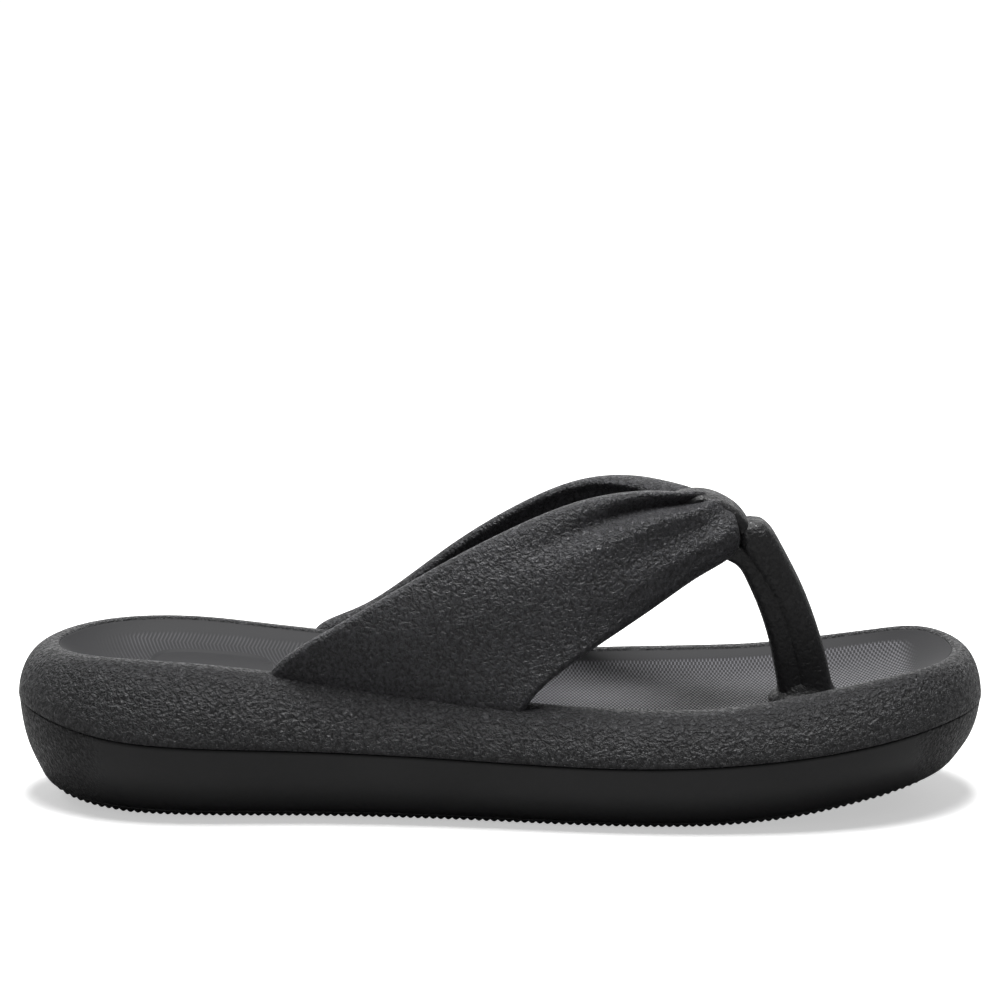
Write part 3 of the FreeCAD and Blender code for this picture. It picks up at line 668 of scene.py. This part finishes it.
class Nodes:
    """A short way to write a material's node tree."""

    def __init__(self, name):
        self.material = bpy.data.materials.new(name)
        self.material.use_nodes = True
        self.tree = self.material.node_tree
        self.shader = self.tree.nodes["Principled BSDF"]

    def add(self, kind, inputs=None, **settings):
        node = self.tree.nodes.new("ShaderNode" + kind)
        for key, setting in settings.items():
            setattr(node, key, setting)
        for key, given in (inputs or {}).items():
            self.feed(node.inputs[key], given)
        return node

    def feed(self, socket, given):
        if isinstance(given, bpy.types.NodeSocket):
            self.tree.links.new(given, socket)
        else:
            socket.default_value = given

    def set(self, **inputs):
        """Feeds the shader; Base_Color stands for Base Color."""
        for key, given in inputs.items():
            self.feed(self.shader.inputs[key.replace("_", " ")], given)

    def math(self, operation, *values):
        node = self.add("Math", dict(enumerate(values)), operation=operation)
        return node.outputs[0]

    def ramp(self, value, low, high, start=0.0, end=1.0):
        """From start to end, smoothly, as a value goes from low to high."""
        node = self.add("MapRange", {"Value": value, "From Min": low, "From Max": high,
                                     "To Min": start, "To Max": end}, interpolation_type="SMOOTHSTEP")
        return node.outputs[0]

    def stretch(self, x, ends):
        """0 where a stretch of the foot starts, 1 where it ends."""
        return self.ramp(x, station(ends[0]), station(ends[1]))

    def position(self):
        return self.add("TexCoord").outputs["Object"]

    def noise(self, vector, scale, detail, roughness=0.5):
        node = self.add("TexNoise", {"Vector": vector, "Scale": scale, "Detail": detail,
                                     "Roughness": roughness})
        return node.outputs["Fac"]

    def bumps(self, relief, depth, fine, fine_depth):
        """A relief, with a finer one on it; depths are in millimetres."""
        coarse = self.add("Bump", {"Height": relief, "Distance": depth * MM})
        both = self.add("Bump", {"Height": fine, "Distance": fine_depth * MM,
                                 "Normal": coarse.outputs[0]})
        self.set(Normal=both.outputs[0])

    def mix(self, factor, low, high):
        return self.add("Mix", {0: factor, 2: low, 3: high}, data_type="FLOAT").outputs[0]

    def colour(self, factor, low, high):
        return self.add("Mix", {0: factor, 6: low, 7: high}, data_type="RGBA").outputs[2]


def leather_grain(nodes, scale):
    """Pebbles between wandering creases, like moulded leather grain; about 0 to 1."""
    where = nodes.position()
    drift = nodes.add("TexNoise", {"Vector": where, "Scale": DRIFT_SCALE, "Detail": 2.0})
    moved = nodes.add("VectorMath", {0: drift.outputs["Color"], 1: (DRIFT * MM,) * 3, 2: where},
                      operation="MULTIPLY_ADD").outputs[0]
    cells = nodes.add("TexVoronoi", {"Vector": moved, "Scale": scale}, feature="SMOOTH_F1")
    cells.inputs["Smoothness"].default_value = 0.3
    pebbles = nodes.ramp(cells.outputs["Distance"], low=0.85, high=0.15)
    folds = nodes.noise(moved, WRINKLE_SCALE * scale, detail=3.0, roughness=0.62)
    wrinkles = nodes.ramp(folds, low=0.3, high=0.7)
    fine = nodes.noise(where, FINE_SCALE * scale, detail=2.0, roughness=0.6)
    coarse = nodes.math("ADD", nodes.math("MULTIPLY", pebbles, PEBBLES),
                        nodes.math("MULTIPLY", wrinkles, WRINKLES))
    return nodes.math("ADD", coarse, nodes.math("MULTIPLY", fine, FINE))


def foam_surface(nodes, relief, tones, roughness, level):
    """Colour and roughness of matt foam: dark and dull in the hollows, paler on the crests; the dark
    hollows are painted shade and the pale crests a painted highlight.
    """
    cloud = nodes.noise(nodes.position(), CLOUD_SCALE, detail=4.0, roughness=0.55)
    tone = nodes.math("ADD", nodes.math("MULTIPLY", relief, 1 - CLOUDS),
                      nodes.math("MULTIPLY", cloud, CLOUDS))
    dark, light = tones
    # Painted shade in the hollows of the relief and a painted highlight on its crests, mixed with soft
    # clouds of the foam's own tone.
    nodes.set(Base_Color=nodes.colour(nodes.ramp(tone, 0.2, 0.8), (*dark, 1), (*light, 1)),
              Roughness=nodes.ramp(tone, 0.25, 0.75, *roughness), Specular_IOR_Level=level)


def grained_foam(name, tones, depth, cells=COARSE_CELLS, level=0.5, mask=None):
    """Foam with leather grain on a fine powder; where a mask is 0 there is only the powder."""
    nodes = Nodes(name)
    grain = leather_grain(nodes, cells)
    if mask is not None:
        share = mask(nodes)
        level_part = nodes.math("MULTIPLY", nodes.math("SUBTRACT", 1.0, share), MIDDLE_GRAIN)
        grain = nodes.math("ADD", nodes.math("MULTIPLY", grain, share), level_part)
    foam_surface(nodes, grain, tones, FOAM_ROUGHNESS, level)
    scale, powder_depth = FOAM_POWDER
    powder = nodes.noise(nodes.position(), scale, detail=2.0, roughness=0.6)
    nodes.bumps(grain, depth, powder, powder_depth)
    return nodes.material


def end_mask(nodes):
    """1 at the heel and toe ends of the sole, 0 along its sides."""
    x = nodes.add("SeparateXYZ", {"Vector": nodes.position()}).outputs[0]
    return nodes.math("MAXIMUM", nodes.stretch(x, GRAINED_HEEL), nodes.stretch(x, GRAINED_TOE))


def wave(nodes, value, pitch, also, also_pitch):
    """A sine along a line; its two parts are lengths in metres over their pitches in mm."""
    turns = nodes.math("ADD", nodes.math("MULTIPLY", value, 1 / (pitch * MM)),
                       nodes.math("MULTIPLY", also, 1 / (also_pitch * MM)))
    return nodes.math("SINE", nodes.math("MULTIPLY", turns, 2 * math.pi))


def footbed_relief(nodes, x, y):
    """A lattice of small diamonds in the forefoot, zigzag ribs in the heel and arch; 0 to 1."""
    along, across = MESH_PITCH
    lattice = nodes.math("ADD", wave(nodes, x, along, y, across), wave(nodes, x, along, y, -across))
    diamonds = nodes.ramp(lattice, -0.9, 0.9)
    zigzag = nodes.math("PINGPONG", nodes.math("ADD", y, ZIGZAG_START * MM), RIB_ZIGZAG * MM)
    ribs = nodes.ramp(wave(nodes, x, RIB_PITCH, zigzag, RIB_SLANT * RIB_PITCH), -0.8, 0.8, *RIB_RELIEF)
    return nodes.mix(nodes.stretch(x, DIAMONDS_AHEAD), ribs, diamonds)


def footbed_mask(nodes, x, y):
    """1 where the footbed is textured: not on its border, at its two ends or on the heel patch."""
    depth = nodes.add("Attribute", attribute_name="depth").outputs["Fac"]
    middle = (PATCH_CENTRE[0] + HEEL, PATCH_CENTRE[1])
    parts = []
    for value, centre, half in zip((x, y), middle, PATCH_HALF):
        away = nodes.math("DIVIDE", nodes.math("SUBTRACT", value, centre * MM), half * MM)
        parts.append(nodes.math("POWER", nodes.math("ABSOLUTE", away), PATCH_POWER))
    patch = nodes.ramp(nodes.math("ADD", *parts), *PATCH_BORDER)
    sides = nodes.math("MULTIPLY", nodes.ramp(depth, *BORDER), patch)
    ends = nodes.math("MULTIPLY", nodes.stretch(x, TEXTURE_FROM_TOE),
                      nodes.stretch(x, TEXTURE_FROM_HEEL))
    return nodes.math("MULTIPLY", sides, ends)


def footbed_material():
    nodes = Nodes("footbed_textured_foam")
    x, y, _ = nodes.add("SeparateXYZ", {"Vector": nodes.position()}).outputs[:3]
    mask = footbed_mask(nodes, x, y)
    relief = nodes.math("MULTIPLY", footbed_relief(nodes, x, y), mask)
    plain = nodes.math("MULTIPLY", nodes.math("SUBTRACT", 1.0, mask), PLAIN_TONE)
    # The footbed's colour follows its relief: painted shade in the dips between the diamonds and ribs, a
    # painted highlight on their tops.
    foam_surface(nodes, nodes.math("ADD", relief, plain), BED_TONES, BED_ROUGHNESS, level=0.42)
    scale, powder_depth = BED_POWDER
    powder = nodes.noise(nodes.position(), scale, detail=3.0, roughness=0.6)
    nodes.bumps(relief, BED_RELIEF, powder, powder_depth)
    return nodes.material


# ------------------------------------------------------------------ the set, in metres

CAMERA_TARGET = Vector((0, 0, 0.04))
CAMERA_DISTANCE = 1.5
CAMERA_RISE = math.radians(14)
CAMERA_TILT = math.radians(1.63)        # aims above the target: the sandal sits low in the view
CAMERA_LENS = 192.6
FLOOR_HALF, FLOOR_NEAR, FLOOR_FAR = 1.3, -1.6, 1.0
FLOOR_HEIGHT = -0.0002
FLOOR_GREYS = (0.86, 0.90)              # as the camera sees it
FLOOR_BOUNCE = 0.38                     # its grey as a light on the sandal
FLOOR_GLOW = 0.56                       # light of its own, for the camera only
WORLD_LIGHT, WORLD_SEEN = 0.12, 1.05    # the world as a light, and as the camera sees it
# Area lights: name, place, size, power in watts.
LIGHTS = (("top_light", (0.0, 0.0, 1.5), (0.6, 0.9), 39.0),
          ("back_light", (0.0, 1.3, 0.40), (2.0, 0.6), 6.0),
          ("heel_light", (-1.0, 0.8, 0.85), (0.4, 0.4), 1.5))
LIGHT_TARGET = Vector((0, 0, 0.03))


def make_camera():
    camera = bpy.data.cameras.new("camera")
    camera.sensor_width = 36.0
    camera.lens = CAMERA_LENS
    camera.clip_end = 50
    obj = place_in_scene("camera", camera)
    back = Vector((0, -math.cos(CAMERA_RISE), math.sin(CAMERA_RISE)))
    obj.location = CAMERA_TARGET + back * CAMERA_DISTANCE
    obj.rotation_euler = (math.pi / 2 - CAMERA_RISE + CAMERA_TILT, 0, 0)
    bpy.context.scene.camera = obj


def soft_light(name, place, size, power):
    light = bpy.data.lights.new(name, "AREA")
    light.shape = "RECTANGLE"
    light.size, light.size_y = size
    light.energy = power
    obj = place_in_scene(name, light)
    obj.location = place
    obj.visible_camera = False
    direction = LIGHT_TARGET - obj.location
    obj.rotation_euler = direction.to_track_quat("-Z", "Y").to_euler()


def floor_material():
    """White to the camera, with a pale shadow; dimmer as a light on the sandal."""
    nodes = Nodes("studio_floor")
    cloud = nodes.noise(nodes.position(), 3.0, detail=2.0)
    seen = nodes.colour(cloud, *((grey, grey, grey, 1) for grey in FLOOR_GREYS))
    camera_ray = nodes.add("LightPath").outputs["Is Camera Ray"]
    nodes.set(Base_Color=nodes.colour(camera_ray, (FLOOR_BOUNCE,) * 3 + (1,), seen), Roughness=0.9,
              Specular_IOR_Level=0.0, Emission_Color=seen,
              Emission_Strength=nodes.math("MULTIPLY", camera_ray, FLOOR_GLOW))
    return nodes.material


def make_floor():
    corners = np.array([(-FLOOR_HALF, FLOOR_NEAR, 0), (FLOOR_HALF, FLOOR_NEAR, 0),
                        (FLOOR_HALF, FLOOR_FAR, 0), (-FLOOR_HALF, FLOOR_FAR, 0)]) / MM
    floor = new_object("studio_floor", corners, [(0, 1, 2, 3)], smooth=False)
    floor.location.z = FLOOR_HEIGHT
    floor.data.materials.append(floor_material())


def make_world():
    world = bpy.data.worlds.new("studio")
    bpy.context.scene.world = world
    world.use_nodes = True
    tree = world.node_tree
    background = tree.nodes["Background"]
    background.inputs["Color"].default_value = (1, 1, 1, 1)
    path = tree.nodes.new("ShaderNodeLightPath")
    mix = tree.nodes.new("ShaderNodeMapRange")
    mix.inputs["To Min"].default_value = WORLD_LIGHT
    mix.inputs["To Max"].default_value = WORLD_SEEN
    tree.links.new(path.outputs["Is Camera Ray"], mix.inputs["Value"])
    tree.links.new(mix.outputs[0], background.inputs["Strength"])


def make_studio():
    make_floor()
    make_world()
    for light in LIGHTS:
        soft_light(*light)
    view = bpy.context.scene.view_settings
    view.view_transform = "Standard"
    view.look = "None"
    view.exposure = 0.0
    view.gamma = 1.0


# ------------------------------------------------------------------ build


def make_sole():
    """The four layers; returns the footbed."""
    rim = grained_foam("rim_grained_foam", RIM_TONES, depth=1.0, cells=FOAM_CELLS, level=0.42)
    side = grained_foam("side_foam", SIDE_TONES, depth=0.7, cells=FOAM_CELLS, level=0.38,
                        mask=end_mask)
    rubber = grained_foam("outsole_rubber", OUTSOLE_TONES, depth=0.10)
    finish_piece(make_upper_midsole(), rim, "upper_midsole")
    finish_piece(make_lower_midsole(), side, "lower_midsole")
    finish_piece(make_outsole(), rubber, "outsole")
    return finish_piece(make_footbed(), footbed_material(), "footbed")


def make_side_straps():
    foam = grained_foam("strap_grained_foam", STRAP_TONES, depth=0.72, cells=STRAP_CELLS)
    medial = make_wing("medial_strap_foam", MEDIAL_WING, -1)
    lateral = make_wing("lateral_strap_foam", LATERAL_WING, 1)
    finish_piece(medial, foam, "medial_strap")
    finish_piece(lateral, foam, "lateral_strap")
    return [medial, lateral]


def make_post():
    # The post and its flare get darker tones than the straps: painted shade under the straps.
    foam = grained_foam("toe_strap_foam", POST_TONES_PAINTED_SHADE, depth=0.28, cells=FOAM_CELLS)
    finish_piece(make_toe_strap(), foam, "toe_strap")
    finish_piece(make_collar(), foam, "toe_post_collar")


def dress_anchors():
    """The hidden anchors keep their CAD shapes and get a material."""
    plastic = grained_foam("anchor_plastic", ANCHOR_TONES, depth=0.05)
    for name in ("medial_strap_anchor", "lateral_strap_anchor", "toe_anchor"):
        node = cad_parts[name]
        node.data.materials.clear()
        node.data.materials.append(plastic)


make_camera()
make_studio()
soft_pieces = [make_sole()] + make_side_straps()
make_post()
dress_anchors()
